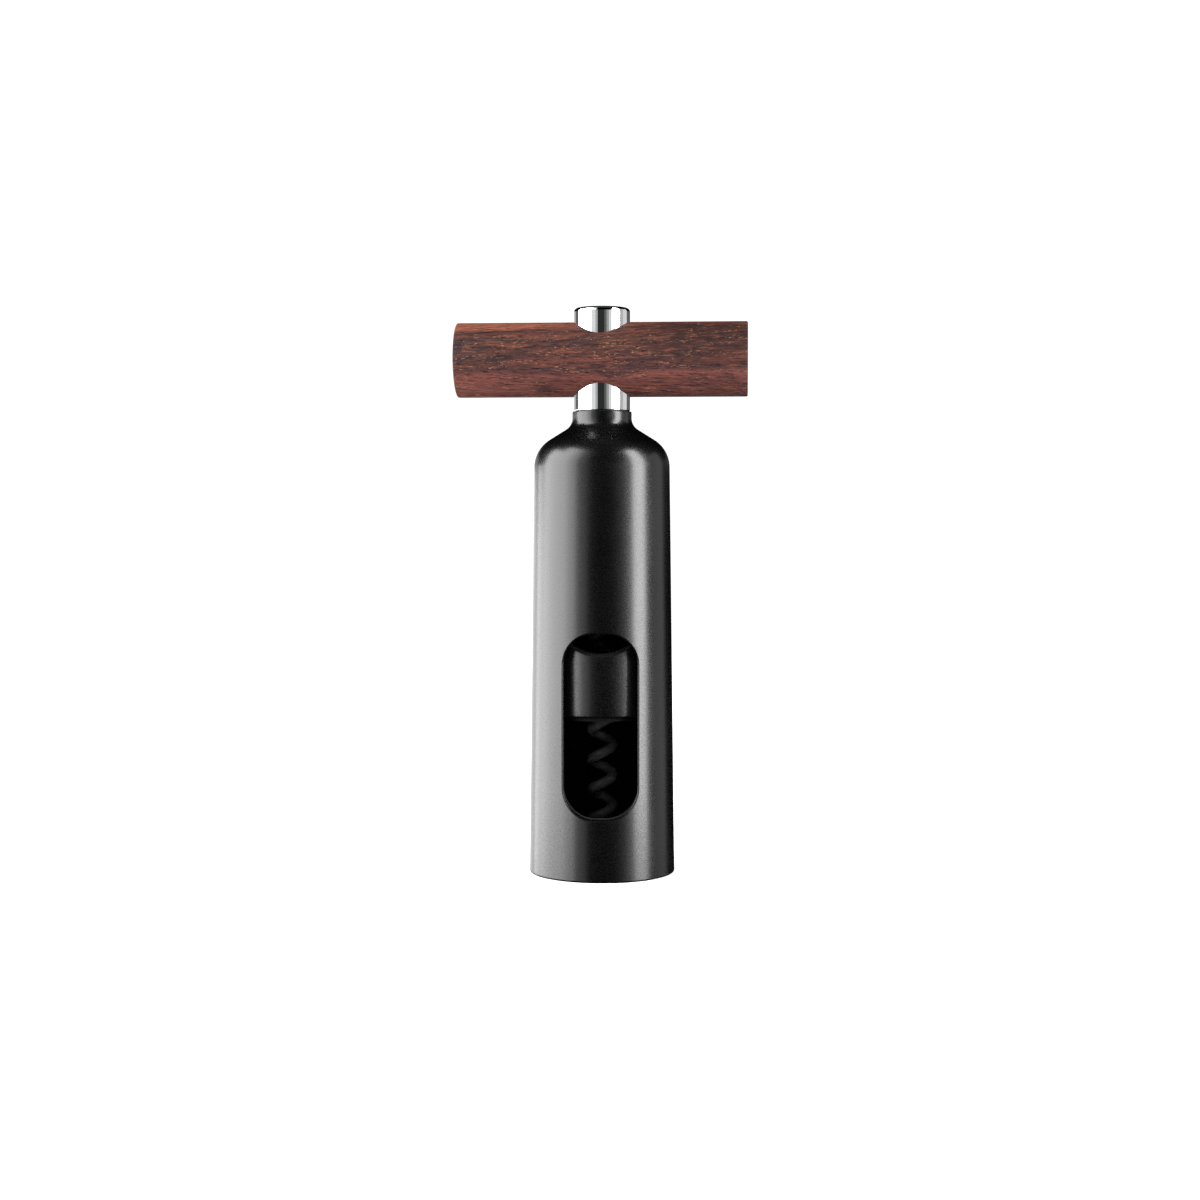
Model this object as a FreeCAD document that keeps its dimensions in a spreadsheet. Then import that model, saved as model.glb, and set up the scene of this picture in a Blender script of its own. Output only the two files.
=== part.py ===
import FreeCAD, Part
import math
import os

import Sketcher

# A bell-shaped corkscrew with a wooden cross handle. The bell stands over the neck of a wine
# bottle until the bottle's lip meets the stop sleeve inside it. Turning the handle drives the
# worm into the cork, and further turning draws the cork up the worm into the bell.
#
# Millimetres. +Z is up the axis, the origin is on the axis in the plane of the bell's rim, and
# the window faces -Y. The handle lies along X, turned by its rest angle.

doc = FreeCAD.newDocument("bell_corkscrew")

SIZES = {
    # what the bottle and its cork need
    "neck_guide_radius": 15.75,
    "lip_seat_height": 45.9,
    "cork_bore_radius": 12.75,
    # bell: walls outside the guide ring and the sleeve, then the shoulder and the neck
    "rim_wall": 3.45,
    "rim_edge_radius": 0.5,
    "shoulder_wall": 2.73,
    "shoulder_height": 124.6,
    "shoulder_angle": 32.0,
    "shoulder_arc_radius": 9.5,
    "neck_wall": 2.2,
    "neck_arc_radius": 4.0,
    "neck_length": 4.1,
    "neck_edge_radius": 0.35,
    "crown_drop": 0.7,
    "crown_land": 0.5,
    "sleeve_step": 1.1,
    # window in the front of the bell
    "window_width": 21.4,
    "window_height": 53.2,
    "window_sill_height": 18.1,
    "window_corner_radius": 9.0,
    "window_edge_radius": 0.65,
    # guide ring pressed into the rim
    "guide_wall": 2.25,
    "guide_step": 0.9,
    "guide_height": 8.0,
    "guide_recess": 1.0,
    "guide_lead_in": 1.0,
    "guide_top_chamfer": 0.4,
    "guide_fit_gap": 0.03,
    # stop sleeve, its snap bead and the scoop across its top
    "sleeve_wall": 4.25,
    "sleeve_height": 27.5,
    "sleeve_gap": 0.1,
    "sleeve_edge_chamfer": 0.5,
    "bead_height": 1.2,
    "bead_depth": 0.35,
    "bead_drop": 2.0,
    "scoop_radius": 14.5,
    "scoop_depth": 8.9,
    "scoop_chamfer": 1.0,
    # soft ring under the sleeve, held by a rib in a groove
    "seat_thickness": 1.0,
    "seat_inner_step": 0.2,
    "seat_outer_step": 2.75,
    "seat_rib_step": 1.35,
    "seat_rib_width": 1.0,
    "seat_rib_height": 1.4,
    "seat_rib_gap": 0.03,
    # bushes in the neck
    "bush_wall": 1.45,
    "bush_fit_gap": 0.03,
    "bush_length": 5.2,
    "bush_flange": 0.8,
    "upper_flange_reach": 1.2,
    "upper_flange_proud": 0.2,
    "upper_flange_gap": 0.1,
    "lower_flange_reach": 3.0,
    # spindle: the polished column and the journal below it
    "journal_radius": 5.0,
    "journal_clearance": 0.05,
    "collar_clearance": 0.05,
    "end_play": 0.1,
    "column_step": 0.47,
    "column_proud": 4.1,
    "column_top_radius": 1.2,
    "column_bottom_radius": 0.15,
    "stud_socket_depth": 10.0,
    # cross handle and the screw that pins it to the column
    "handle_wall": 2.72,
    "handle_length": 85.4,
    "handle_lift": 4.0,
    "handle_edge_radius": 0.45,
    "handle_rest_angle": -2.9,
    "handle_bore_gap": 0.02,
    "screw_radius": 2.0,
    "screw_gap": 0.02,
    "screw_depth": 4.0,
    "screw_end_gap": 0.2,
    "screw_recess": 0.9,
    "screw_key_width": 2.0,
    "screw_key_depth": 2.4,
    "screw_chamfer": 0.3,
    # washers under the journal
    "washer_reach": 3.6,
    "washer_thickness": 1.0,
    "lock_washer_width": 2.3,
    "lock_washer_thickness": 0.8,
    "lock_washer_split": 1.0,
    "stud_radius": 3.0,
    "stud_gap": 0.03,
    "stud_length": 9.0,
    # hub that screws into the journal and holds the worm
    "hub_hex_width": 12.0,
    "hub_hex_height": 4.5,
    "hub_radius": 4.6,
    "hub_length": 12.0,
    "hub_nose_chamfer": 1.2,
    "shank_depth": 10.0,
    "shank_gap": 0.03,
    "pin_radius": 0.6,
    "pin_gap": 0.02,
    "pin_depth": 5.0,
    # worm
    "wire_radius": 1.5,
    "coil_radius": 3.2,
    "coil_pitch": 9.0,
    "bend_length": 8.0,
    "bend_start_pull": 3.0,
    "bend_end_pull": 3.5,
    "taper_turns": 0.4,
    "tip_radius": 0.2,
    "tip_above_guide": 1.5,
}

sheet = doc.addObject("Spreadsheet::Sheet", "Size")
for row, (alias, size) in enumerate(SIZES.items(), start=1):
    sheet.set(f"A{row}", alias)
    sheet.set(f"B{row}", str(size))
    sheet.setAlias(f"B{row}", alias)
doc.recompute()

# Formulas that several pieces share. Each is worked out from the sheet, so pieces stay together.
SLEEVE_RADIUS = "(Size.cork_bore_radius + Size.sleeve_wall)"
BELL_BORE = f"({SLEEVE_RADIUS} + Size.sleeve_gap)"
UPPER_BORE = f"({BELL_BORE} - Size.sleeve_step)"
GUIDE_RADIUS = (
    f"max(Size.neck_guide_radius + Size.guide_wall; {BELL_BORE} + Size.guide_step)"
)
GUIDE_BORE = f"({GUIDE_RADIUS} + Size.guide_fit_gap)"
RIM_RADIUS = f"({GUIDE_BORE} + Size.rim_wall)"
SHOULDER_RADIUS = f"({BELL_BORE} + Size.shoulder_wall)"
JOURNAL_BORE = "(Size.journal_radius + Size.journal_clearance)"
BUSH_RADIUS = f"({JOURNAL_BORE} + Size.bush_wall)"
UPPER_FLANGE_RADIUS = f"({BUSH_RADIUS} + Size.upper_flange_reach)"
LOWER_FLANGE_RADIUS = f"({BUSH_RADIUS} + Size.lower_flange_reach)"
NECK_RADIUS = f"({BUSH_RADIUS} + Size.neck_wall)"
COLUMN_RADIUS = f"({NECK_RADIUS} - Size.column_step)"
HANDLE_RADIUS = f"({COLUMN_RADIUS} + Size.handle_wall)"
NECK_FOOT = (
    f"(Size.shoulder_height + ({SHOULDER_RADIUS} - {NECK_RADIUS}) * tan(Size.shoulder_angle))"
)
NECK_TOP = f"({NECK_FOOT} + Size.neck_length)"
CROWN_HEIGHT = "(Size.shoulder_height - Size.crown_drop)"
GUIDE_TOP = "(Size.guide_recess + Size.guide_height)"
SLEEVE_FOOT = "(Size.lip_seat_height + Size.seat_thickness)"
SLEEVE_TOP = f"({SLEEVE_FOOT} + Size.sleeve_height)"
UPPER_BUSH_SEAT = f"({NECK_TOP} + Size.upper_flange_proud - Size.bush_flange)"
SPINDLE_SEAT = f"({NECK_TOP} + Size.upper_flange_proud + Size.collar_clearance)"
JOURNAL_FOOT = f"({CROWN_HEIGHT} - Size.bush_flange - Size.end_play)"
LOCK_WASHER_TOP = f"({JOURNAL_FOOT} - Size.washer_thickness)"
HUB_TOP = f"({LOCK_WASHER_TOP} - Size.lock_washer_thickness)"
HUB_FOOT = f"({HUB_TOP} - Size.hub_hex_height - Size.hub_length)"
PIN_HEIGHT = f"({HUB_FOOT} + Size.pin_depth)"
HANDLE_LIFT = f"(Size.handle_lift + {HANDLE_RADIUS})"
HANDLE_HEIGHT = f"({SPINDLE_SEAT} + {HANDLE_LIFT})"
COLUMN_HEIGHT = f"({HANDLE_LIFT} + {HANDLE_RADIUS} + Size.column_proud)"
SCREW_FOOT = f"({COLUMN_RADIUS} - Size.screw_depth)"
SEAT_RIB_RADIUS = "(Size.cork_bore_radius + Size.seat_rib_step)"


def number(formula):
    """The value of a formula over the sheet's sizes."""
    return float(sheet.evalExpression(str(formula)))


def new_body(name):
    """A body labelled with its node's name."""
    body = doc.addObject("PartDesign::Body", name)
    body.Label = name
    return body


def new_sketch(body, name, role, lift=None):
    """A sketch on one of the body's own origin planes, lifted off it by a formula."""
    plane = next(item for item in body.Origin.OriginFeatures if item.Role == role)
    sketch = body.newObject("Sketcher::SketchObject", name)
    sketch.AttachmentSupport = [(plane, "")]
    sketch.MapMode = "FlatFace"
    if lift is not None:
        sketch.setExpression("AttachmentOffset.Base.z", lift)
    return sketch


def bind(sketch, kind, picks, formula):
    """Adds one dimension whose value follows a formula."""
    index = sketch.addConstraint(Sketcher.Constraint(kind, *picks, number(formula)))
    sketch.setExpression(f"Constraints[{index}]", formula)


def pin_point(sketch, geometry, point, across, up):
    """Fixes one point of a sketch at the two formulas' distances from its origin."""
    if number(across) == 0:
        sketch.addConstraint(Sketcher.Constraint("PointOnObject", geometry, point, -2))
    else:
        bind(sketch, "DistanceX", (-1, 1, geometry, point), across)
    if number(up) == 0:
        sketch.addConstraint(Sketcher.Constraint("PointOnObject", geometry, point, -1))
    else:
        bind(sketch, "DistanceY", (-1, 1, geometry, point), up)


def corner_cut(before, corner, after, radius):
    """Where a fillet of this radius starts and ends, and its middle point."""
    to_before = (before - corner).normalize()
    to_after = (after - corner).normalize()
    half_angle = to_before.getAngle(to_after) / 2
    reach = radius / math.tan(half_angle)
    bisector = (to_before + to_after).normalize()
    middle = corner + bisector * (radius / math.sin(half_angle) - radius)
    return corner + to_before * reach, corner + to_after * reach, middle


def add_outline(sketch, corners):
    """A closed outline. Each corner is (across, up) or (across, up, fillet radius)."""
    points = [FreeCAD.Vector(number(c[0]), number(c[1]), 0) for c in corners]
    count = len(points)
    cuts = {}
    for i, corner in enumerate(corners):
        if len(corner) == 3:
            cuts[i] = corner_cut(
                points[i - 1], points[i], points[(i + 1) % count], number(corner[2])
            )
    lines = []
    for i in range(count):
        after = (i + 1) % count
        start = cuts[i][1] if i in cuts else points[i]
        end = cuts[after][0] if after in cuts else points[after]
        lines.append(sketch.addGeometry(Part.LineSegment(start, end), False))
    for i, corner in enumerate(corners):
        if i not in cuts:
            joined = (lines[i - 1], 2, lines[i], 1)
            sketch.addConstraint(Sketcher.Constraint("Coincident", *joined))
            pin_point(sketch, lines[i], 1, corner[0], corner[1])
            continue
        start, end, middle = cuts[i]
        arc = sketch.addGeometry(Part.Arc(start, middle, end), False)
        mark = sketch.addGeometry(Part.Point(points[i]), True)
        first_point = sketch.getPoint(arc, 1)
        arc_in, arc_out = (1, 2) if first_point.isEqual(start, 1e-6) else (2, 1)
        sketch.addConstraint(
            [
                Sketcher.Constraint("Tangent", lines[i - 1], 2, arc, arc_in),
                Sketcher.Constraint("Tangent", arc, arc_out, lines[i], 1),
                Sketcher.Constraint("PointOnObject", mark, 1, lines[i - 1]),
                Sketcher.Constraint("PointOnObject", mark, 1, lines[i]),
            ]
        )
        pin_point(sketch, mark, 1, corner[0], corner[1])
        bind(sketch, "Radius", (arc,), corner[2])


def add_circle(sketch, across, up, radius):
    """A circle centred at the two formulas' distances from the sketch's origin."""
    centre = FreeCAD.Vector(number(across), number(up), 0)
    circle = Part.Circle(centre, FreeCAD.Vector(0, 0, 1), number(radius))
    index = sketch.addGeometry(circle, False)
    pin_point(sketch, index, 3, across, up)
    bind(sketch, "Radius", (index,), radius)


def hexagon(width):
    """The corners of a hexagon with this width across its flats, on the sketch's origin."""
    reach = f"({width} / 2 / cos(30))"
    turns = range(0, 360, 60)
    return [(f"{reach} * cos({turn})", f"{reach} * sin({turn})") for turn in turns]


def revolve(body, name, corners):
    """Turns an outline in the XZ plane into a round solid about Z."""
    sketch = new_sketch(body, name + "_outline", "XZ_Plane")
    add_outline(sketch, corners)
    turned = body.newObject("PartDesign::Revolution", name)
    turned.Profile = sketch
    turned.ReferenceAxis = (sketch, ["V_Axis"])
    turned.Angle = 360
    doc.recompute()
    return turned


def pad(body, name, sketch, length, both_ways=False):
    """Extrudes a sketch, to one side or evenly to both."""
    feature = body.newObject("PartDesign::Pad", name)
    feature.Profile = sketch
    feature.setExpression("Length", length)
    feature.SideType = "Symmetric" if both_ways else "One side"
    doc.recompute()
    return feature


def pocket(body, name, sketch, length, side="One side", reverse=False):
    """Cuts a sketch out of the body, and makes sure that it takes something away."""
    before = body.Shape.Volume
    feature = body.newObject("PartDesign::Pocket", name)
    feature.Profile = sketch
    feature.Type = "Length"
    feature.setExpression("Length", length)
    feature.SideType = side
    feature.Reversed = reverse
    doc.recompute()
    if body.Shape.Volume >= before:
        raise RuntimeError(f"{name} cuts nothing")
    return feature


def soften(body, name, kind, size, chosen):
    """A fillet or chamfer on the edges of the body's last feature that chosen() accepts."""
    base = body.Tip
    names = [
        f"Edge{i}" for i, edge in enumerate(base.Shape.Edges, start=1) if chosen(edge)
    ]
    feature = body.newObject(kind, name)
    feature.Base = (base, names)
    feature.setExpression("Radius" if kind.endswith("Fillet") else "Size", size)
    doc.recompute()
    return feature


def stand(piece, height, turned=False):
    """Places a piece on the axis at a height, and turns it with the handle if it belongs there."""
    if turned:
        piece.setExpression("Placement.Rotation.Yaw", "Size.handle_rest_angle")
    piece.setExpression("Placement.Base.z", height)


def make_bell_housing():
    """The bell: tapered outside, with its bores, shoulder and neck in one revolved outline."""
    body = new_body("bell_housing")
    flange_seat_radius = f"{UPPER_FLANGE_RADIUS} + Size.upper_flange_gap"
    crown_arc = f"{UPPER_BORE} - {LOWER_FLANGE_RADIUS} - Size.crown_land"
    bead_top = f"{SLEEVE_TOP} - Size.bead_drop + Size.sleeve_gap"
    bead_foot = f"{bead_top} - Size.bead_height - 2 * Size.sleeve_gap"
    bead_bore = f"{BELL_BORE} + Size.bead_depth"
    corners = [
        (GUIDE_BORE, "0"),
        (RIM_RADIUS, "0", "Size.rim_edge_radius"),
        (SHOULDER_RADIUS, "Size.shoulder_height", "Size.shoulder_arc_radius"),
        (NECK_RADIUS, NECK_FOOT, "Size.neck_arc_radius"),
        (NECK_RADIUS, NECK_TOP, "Size.neck_edge_radius"),
        (flange_seat_radius, NECK_TOP),
        (flange_seat_radius, UPPER_BUSH_SEAT),
        (BUSH_RADIUS, UPPER_BUSH_SEAT),
        (BUSH_RADIUS, CROWN_HEIGHT),
        (UPPER_BORE, CROWN_HEIGHT, crown_arc),
        (UPPER_BORE, SLEEVE_TOP),
        (BELL_BORE, SLEEVE_TOP),
        (BELL_BORE, bead_top),
        (bead_bore, bead_top),
        (bead_bore, bead_foot),
        (BELL_BORE, bead_foot),
        (BELL_BORE, GUIDE_TOP),
        (GUIDE_BORE, GUIDE_TOP),
    ]
    revolve(body, "bell_shell", corners)
    cut_window(body)
    return body


def cut_window(body):
    """The round-cornered window through the front wall, with its outer edge rounded."""
    half_width = "Size.window_width / 2"
    head_height = "Size.window_sill_height + Size.window_height"
    radius = "Size.window_corner_radius"
    sketch = new_sketch(body, "window_outline", "XZ_Plane")
    corners = [
        (f"-({half_width})", "Size.window_sill_height", radius),
        (half_width, "Size.window_sill_height", radius),
        (half_width, head_height, radius),
        (f"-({half_width})", head_height, radius),
    ]
    add_outline(sketch, corners)
    pocket(body, "window", sketch, f"{RIM_RADIUS} + 1", reverse=True)

    sill = number("Size.window_sill_height")
    head = number(head_height)
    half = number(half_width)
    skin = number(BELL_BORE) + number("Size.shoulder_wall") / 2

    def on_outer_rim(edge):
        middle = edge.valueAt((edge.FirstParameter + edge.LastParameter) / 2)
        inside = abs(middle.x) < half + 0.01 and sill - 0.01 < middle.z < head + 0.01
        return inside and middle.y < 0 and math.hypot(middle.x, middle.y) > skin

    soften(
        body, "window_edge", "PartDesign::Fillet", "Size.window_edge_radius", on_outer_rim
    )


def make_guide_ring():
    """The ring in the rim that keeps the bell centred on the bottle's neck."""
    body = new_body("neck_guide_ring")
    lead_in = "Size.guide_lead_in"
    top_chamfer = "Size.guide_top_chamfer"
    corners = [
        (f"Size.neck_guide_radius + {lead_in}", "0"),
        (GUIDE_RADIUS, "0"),
        (GUIDE_RADIUS, "Size.guide_height"),
        (f"Size.neck_guide_radius + {top_chamfer}", "Size.guide_height"),
        ("Size.neck_guide_radius", f"Size.guide_height - {top_chamfer}"),
        ("Size.neck_guide_radius", lead_in),
    ]
    revolve(body, "guide_ring", corners)
    stand(body, "Size.guide_recess")
    return body


def make_stop_sleeve():
    """The sleeve that stops on the bottle's lip and lines the way of the cork."""
    body = new_body("stop_sleeve")
    groove_in = f"{SEAT_RIB_RADIUS} - Size.seat_rib_width / 2 - Size.seat_rib_gap"
    groove_out = f"{SEAT_RIB_RADIUS} + Size.seat_rib_width / 2 + Size.seat_rib_gap"
    groove_top = "Size.seat_rib_height + Size.seat_rib_gap"
    bead_top = "Size.sleeve_height - Size.bead_drop"
    bead_foot = f"{bead_top} - Size.bead_height"
    bead_radius = f"{SLEEVE_RADIUS} + Size.bead_depth"
    chamfer = "Size.sleeve_edge_chamfer"
    corners = [
        (f"Size.cork_bore_radius + {chamfer}", "0"),
        (groove_in, "0"),
        (groove_in, groove_top),
        (groove_out, groove_top),
        (groove_out, "0"),
        (f"{SLEEVE_RADIUS} - {chamfer}", "0"),
        (SLEEVE_RADIUS, chamfer),
        (SLEEVE_RADIUS, bead_foot),
        (bead_radius, f"{bead_foot} + Size.bead_depth"),
        (bead_radius, bead_top),
        (SLEEVE_RADIUS, bead_top),
        (SLEEVE_RADIUS, "Size.sleeve_height"),
        (f"Size.cork_bore_radius + {chamfer}", "Size.sleeve_height"),
        ("Size.cork_bore_radius", f"Size.sleeve_height - {chamfer}"),
        ("Size.cork_bore_radius", chamfer),
    ]
    revolve(body, "sleeve_tube", corners)

    sketch = new_sketch(body, "scoop_outline", "XZ_Plane")
    scoop_height = "Size.sleeve_height - Size.scoop_depth + Size.scoop_radius"
    add_circle(sketch, "0", scoop_height, "Size.scoop_radius")
    pocket(body, "scoop", sketch, f"4 * {SLEEVE_RADIUS}", side="Symmetric")

    centre = FreeCAD.Vector(0, 0, number(scoop_height))
    scoop = number("Size.scoop_radius")
    skin = number(SLEEVE_RADIUS)

    def on_scoop(edge):
        middle = edge.valueAt((edge.FirstParameter + edge.LastParameter) / 2)
        reach = math.hypot(middle.x - centre.x, middle.z - centre.z)
        outside = abs(math.hypot(middle.x, middle.y) - skin) < 0.01
        return outside and abs(reach - scoop) < 0.01

    soften(body, "scoop_edge", "PartDesign::Chamfer", "Size.scoop_chamfer", on_scoop)
    stand(body, SLEEVE_FOOT)
    return body


def make_lip_seat_ring():
    """The soft ring that meets the bottle's lip, with the rib that holds it in the sleeve."""
    body = new_body("lip_seat_ring")
    inner = "Size.cork_bore_radius + Size.seat_inner_step"
    outer = "Size.cork_bore_radius + Size.seat_outer_step"
    rib_in = f"{SEAT_RIB_RADIUS} - Size.seat_rib_width / 2"
    rib_out = f"{SEAT_RIB_RADIUS} + Size.seat_rib_width / 2"
    rib_top = "Size.seat_thickness + Size.seat_rib_height"
    corners = [
        (inner, "0"),
        (outer, "0"),
        (outer, "Size.seat_thickness"),
        (rib_out, "Size.seat_thickness"),
        (rib_out, rib_top),
        (rib_in, rib_top),
        (rib_in, "Size.seat_thickness"),
        (inner, "Size.seat_thickness"),
    ]
    revolve(body, "seat_ring", corners)
    stand(body, "Size.lip_seat_height")
    return body


def make_bush(name, flange_radius, seat, barrel_side):
    """A flanged bush. Its barrel runs up (1) or down (-1) from the flange's seated face."""
    body = new_body(name)
    barrel = f"{BUSH_RADIUS} - Size.bush_fit_gap"
    flange_end = f"{-barrel_side} * Size.bush_flange"
    barrel_end = f"{barrel_side} * Size.bush_length"
    corners = [
        (JOURNAL_BORE, flange_end),
        (flange_radius, flange_end),
        (flange_radius, "0"),
        (barrel, "0"),
        (barrel, barrel_end),
        (JOURNAL_BORE, barrel_end),
    ]
    revolve(body, name + "_turning", corners)
    stand(body, seat)
    return body


def make_spindle():
    """The polished column, its journal through the neck, and the holes for stud and screw."""
    body = new_body("spindle")
    journal_foot = f"{JOURNAL_FOOT} - {SPINDLE_SEAT}"
    socket_top = f"{journal_foot} + Size.stud_socket_depth"
    corners = [
        ("0", COLUMN_HEIGHT),
        ("0", socket_top),
        ("Size.stud_radius", socket_top),
        ("Size.stud_radius", journal_foot),
        ("Size.journal_radius", journal_foot),
        ("Size.journal_radius", "0"),
        (COLUMN_RADIUS, "0", "Size.column_bottom_radius"),
        (COLUMN_RADIUS, COLUMN_HEIGHT, "Size.column_top_radius"),
    ]
    revolve(body, "column", corners)
    sketch = new_sketch(body, "screw_hole_outline", "XZ_Plane", f"-{SCREW_FOOT}")
    add_circle(sketch, "0", HANDLE_LIFT, "Size.screw_radius")
    pocket(body, "screw_hole", sketch, COLUMN_RADIUS)
    stand(body, SPINDLE_SEAT, turned=True)
    return body


def make_cross_handle():
    """The wooden bar, bored across for the column and from behind for the screw."""
    body = new_body("cross_handle")
    bar = new_sketch(body, "bar_outline", "YZ_Plane")
    add_circle(bar, "0", "0", HANDLE_RADIUS)
    pad(body, "bar", bar, "Size.handle_length", both_ways=True)
    soften(
        body, "bar_edge", "PartDesign::Fillet", "Size.handle_edge_radius",
        lambda edge: isinstance(edge.Curve, Part.Circle),
    )
    bore = new_sketch(body, "column_bore_outline", "XY_Plane")
    add_circle(bore, "0", "0", f"{COLUMN_RADIUS} + Size.handle_bore_gap")
    pocket(body, "column_bore", bore, f"4 * {HANDLE_RADIUS}", side="Symmetric")
    hole = new_sketch(body, "screw_way_outline", "XZ_Plane")
    add_circle(hole, "0", "0", "Size.screw_radius + Size.screw_gap")
    pocket(body, "screw_way", hole, f"2 * {HANDLE_RADIUS}")
    stand(body, HANDLE_HEIGHT, turned=True)
    return body


def make_grub_screw():
    """The headless screw behind the handle that pins it to the column."""
    body = new_body("handle_grub_screw")
    length = f"{HANDLE_RADIUS} - Size.screw_recess - {SCREW_FOOT} - Size.screw_end_gap"
    start = f"-({SCREW_FOOT} + Size.screw_end_gap)"
    shank = new_sketch(body, "screw_outline", "XZ_Plane", f"{start} - ({length})")
    add_circle(shank, "0", "0", "Size.screw_radius - Size.screw_gap")
    pad(body, "screw_shank", shank, length)
    soften(
        body, "screw_edge", "PartDesign::Chamfer", "Size.screw_chamfer",
        lambda edge: isinstance(edge.Curve, Part.Circle),
    )
    key = new_sketch(body, "key_outline", "XZ_Plane", f"Size.screw_recess - {HANDLE_RADIUS}")
    add_outline(key, hexagon("Size.screw_key_width"))
    pocket(body, "key", key, "Size.screw_key_depth", reverse=True)
    stand(body, HANDLE_HEIGHT, turned=True)
    return body


def make_retaining_washer():
    """The plain washer that keeps the journal in its bushes."""
    body = new_body("retaining_washer")
    hole = "Size.stud_radius + Size.stud_gap"
    outer = "Size.journal_radius + Size.washer_reach"
    corners = [
        (hole, "0"),
        (outer, "0"),
        (outer, "-Size.washer_thickness"),
        (hole, "-Size.washer_thickness"),
    ]
    revolve(body, "washer", corners)
    stand(body, JOURNAL_FOOT, turned=True)
    return body


def make_lock_washer():
    """The split spring washer, pressed flat between the plain washer and the hub."""
    body = new_body("lock_washer")
    hole = "Size.stud_radius + Size.stud_gap"
    outer = "Size.stud_radius + Size.lock_washer_width"
    corners = [
        (hole, "0"),
        (outer, "0"),
        (outer, "-Size.lock_washer_thickness"),
        (hole, "-Size.lock_washer_thickness"),
    ]
    revolve(body, "spring_ring", corners)
    split = new_sketch(body, "split_outline", "XY_Plane")
    half = "Size.lock_washer_split / 2"
    reach = f"{outer} + 1"
    slot = [("0", f"-({half})"), (reach, f"-({half})"), (reach, half), ("0", half)]
    add_outline(split, slot)
    pocket(body, "split", split, "Size.lock_washer_thickness")
    stand(body, LOCK_WASHER_TOP, turned=True)
    return body


def make_worm_hub():
    """The hub: a stud above, a hexagon for the spanner, and a socket for the worm's shank."""
    body = new_body("worm_hub")
    hub_foot = f"{HUB_FOOT} - {HUB_TOP}"
    stud = "Size.stud_radius - Size.stud_gap"
    socket = "Size.wire_radius + Size.shank_gap"
    socket_top = f"{hub_foot} + Size.shank_depth"
    nose = "Size.hub_nose_chamfer"
    corners = [
        ("0", "Size.stud_length"),
        (f"{stud} - Size.screw_chamfer", "Size.stud_length"),
        (stud, "Size.stud_length - Size.screw_chamfer"),
        (stud, "0"),
        ("Size.hub_radius", "0"),
        ("Size.hub_radius", f"{hub_foot} + {nose}"),
        (f"Size.hub_radius - {nose}", hub_foot),
        (socket, hub_foot),
        (socket, socket_top),
        ("0", socket_top),
    ]
    revolve(body, "hub_turning", corners)
    flats = new_sketch(body, "hexagon_outline", "XY_Plane", "-Size.hub_hex_height")
    add_outline(flats, hexagon("Size.hub_hex_width"))
    pad(body, "hexagon", flats, "Size.hub_hex_height")
    cross = new_sketch(body, "pin_way_outline", "XZ_Plane")
    add_circle(cross, "0", f"{PIN_HEIGHT} - {HUB_TOP}", "Size.pin_radius + Size.pin_gap")
    pocket(body, "pin_way", cross, "4 * Size.hub_radius", side="Symmetric")
    stand(body, HUB_TOP, turned=True)
    return body


def make_worm_pin():
    """The cross pin through the hub and the worm's shank."""
    body = new_body("worm_pin")
    sketch = new_sketch(body, "pin_outline", "XZ_Plane")
    add_circle(sketch, "0", "0", "Size.pin_radius")
    pad(body, "pin", sketch, "2 * Size.hub_radius - 2 * Size.pin_gap", both_ways=True)
    stand(body, PIN_HEIGHT, turned=True)
    return body


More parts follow.
